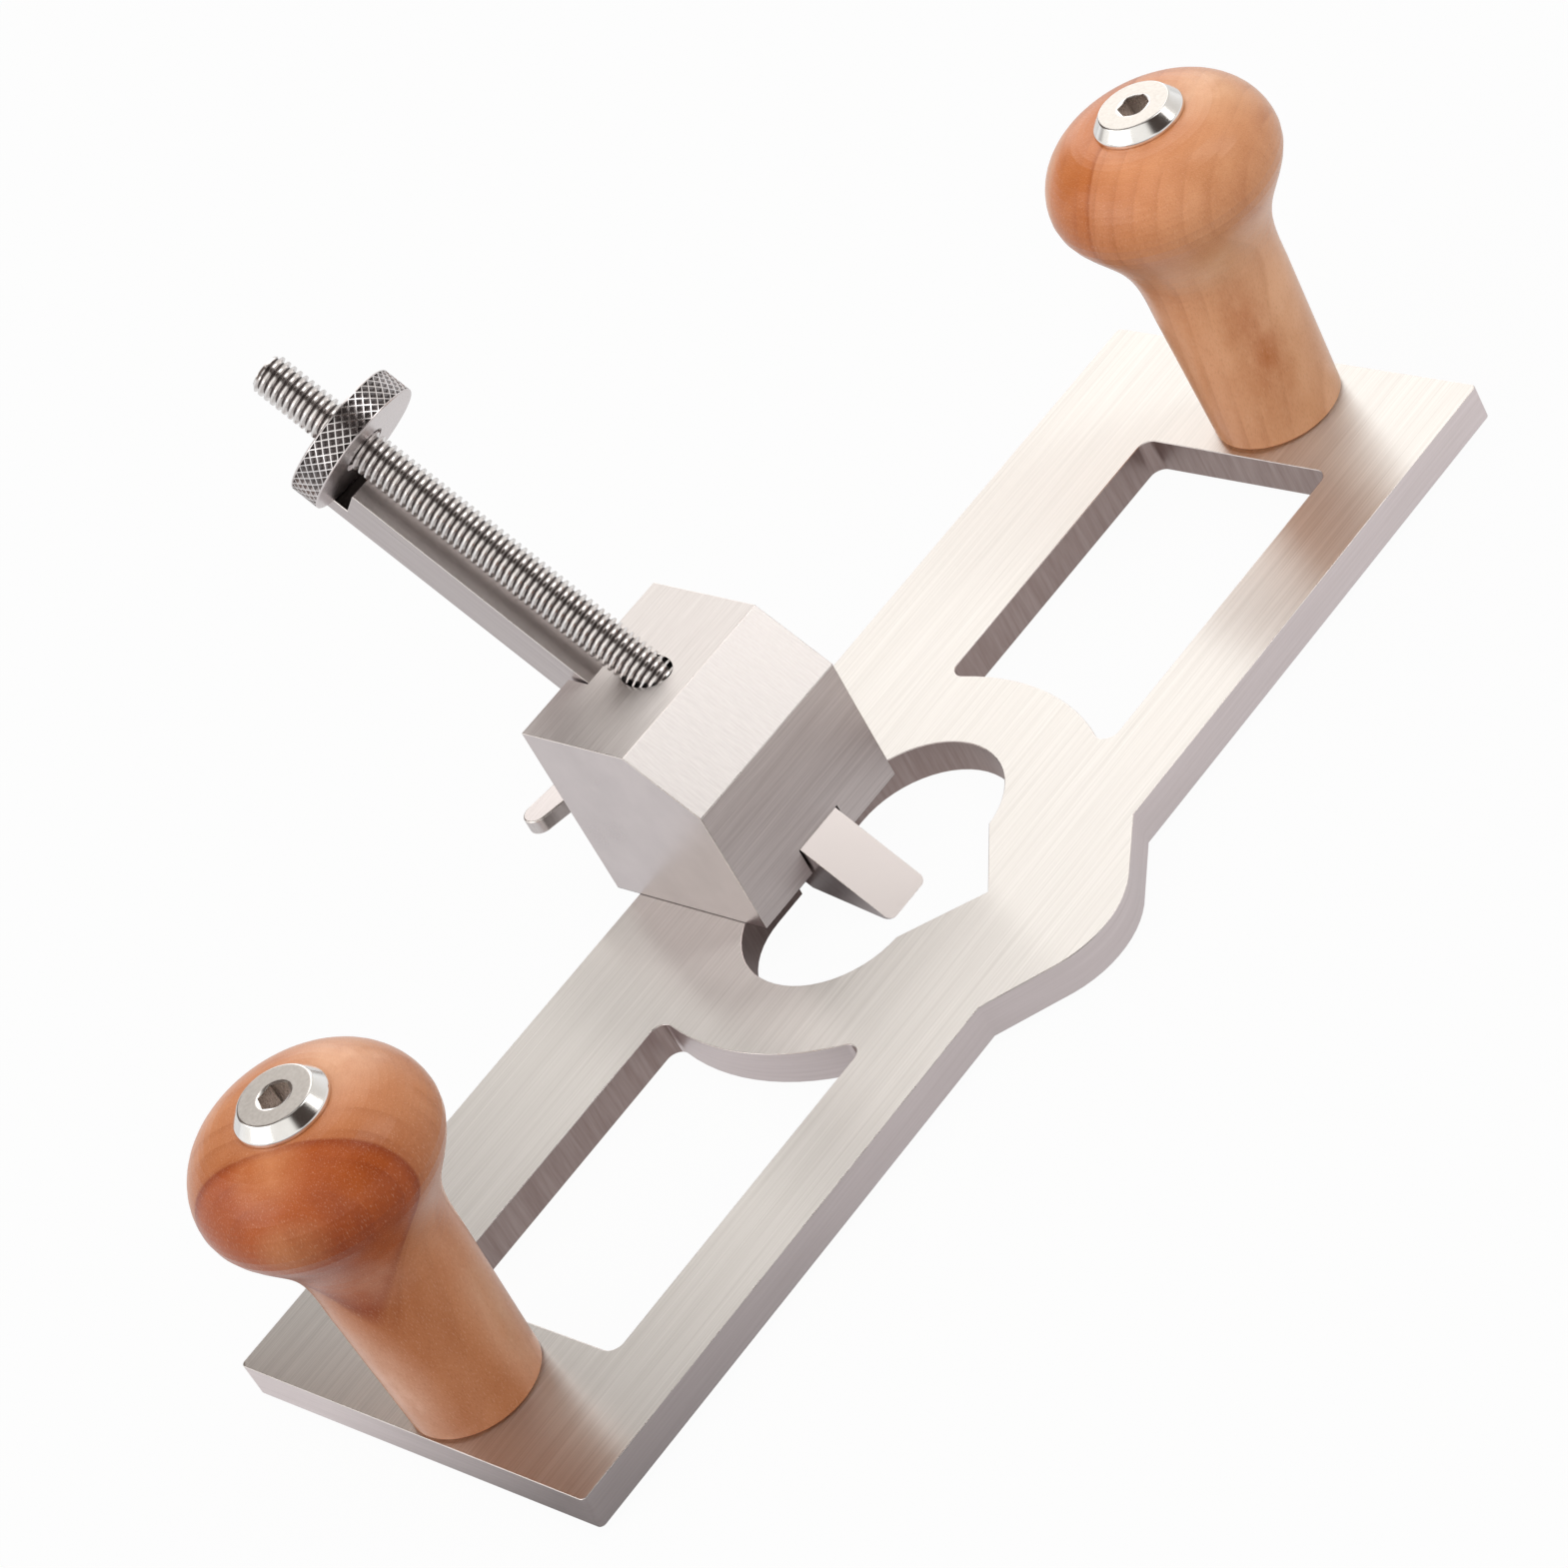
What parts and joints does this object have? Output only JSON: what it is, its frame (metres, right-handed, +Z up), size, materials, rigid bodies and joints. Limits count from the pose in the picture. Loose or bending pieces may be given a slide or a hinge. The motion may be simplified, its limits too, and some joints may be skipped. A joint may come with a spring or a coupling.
{
  "type": "hand router plane",
  "caption": "Hand router plane: open steel sole with wooden knobs and a block holding a slanted bar cutter, set for depth by a knurled nut on a threaded stud and clamped by a wing screw.",
  "frame": {"origin": "on the sole, on the mid-plane, in the middle of the rail behind the mouth", "axes": "+X along the sole to the right knob, +Y to the back, away from the nose, +Z up out of the sole"},
  "size_m": [0.214, 0.1139, 0.0835],
  "materials": {
    "sole_steel": "satin, brushed along the length",
    "block_steel": "satin, brushed across the block",
    "blade_steel": "finely ground",
    "thread_steel": "bright rolled thread",
    "knurl_steel": "bright, diamond knurl on the rim",
    "fastener_steel": "plain bright steel",
    "bolt_steel": "polished bevel and a satin flat",
    "knob_wood": "turned hardwood, thin satin varnish"
  },
  "bodies": {
    "plane_body": {"base_plate": "sole_steel", "blade_holder": "block_steel", "holder_screw_left": "fastener_steel", "holder_screw_right": "fastener_steel", "depth_stud": "thread_steel", "knob_left": "knob_wood", "knob_right": "knob_wood", "knob_bolt_left": "bolt_steel", "knob_bolt_right": "bolt_steel"},
    "cutter": {"blade": "blade_steel"},
    "nut": {"depth_nut": "knurl_steel"},
    "clamp": {"wing_screw": "fastener_steel"}
  },
  "joints": [
    {"name": "blade_slide", "type": "slide", "parent": "plane_body", "child": "cutter", "axis": [0, 0.7071, 0.7071], "range_m": [-0.036, 0.012]},
    {"name": "nut_turn", "type": "hinge", "parent": "cutter", "child": "nut", "pos_m": [0, 0.0029, 0.035], "axis": [0, 0.7071, 0.7071], "range_deg": [-12960, 4320]},
    {"name": "wing_turn", "type": "hinge", "parent": "plane_body", "child": "clamp", "pos_m": [0, 0.0156, 0.0167], "axis": [0, 1, 0], "range_deg": [0, 360]}
  ],
  "couplings": [
    {"joint": "nut_turn", "follows": "blade_slide", "rad_per_m": 6283.2}
  ]
}
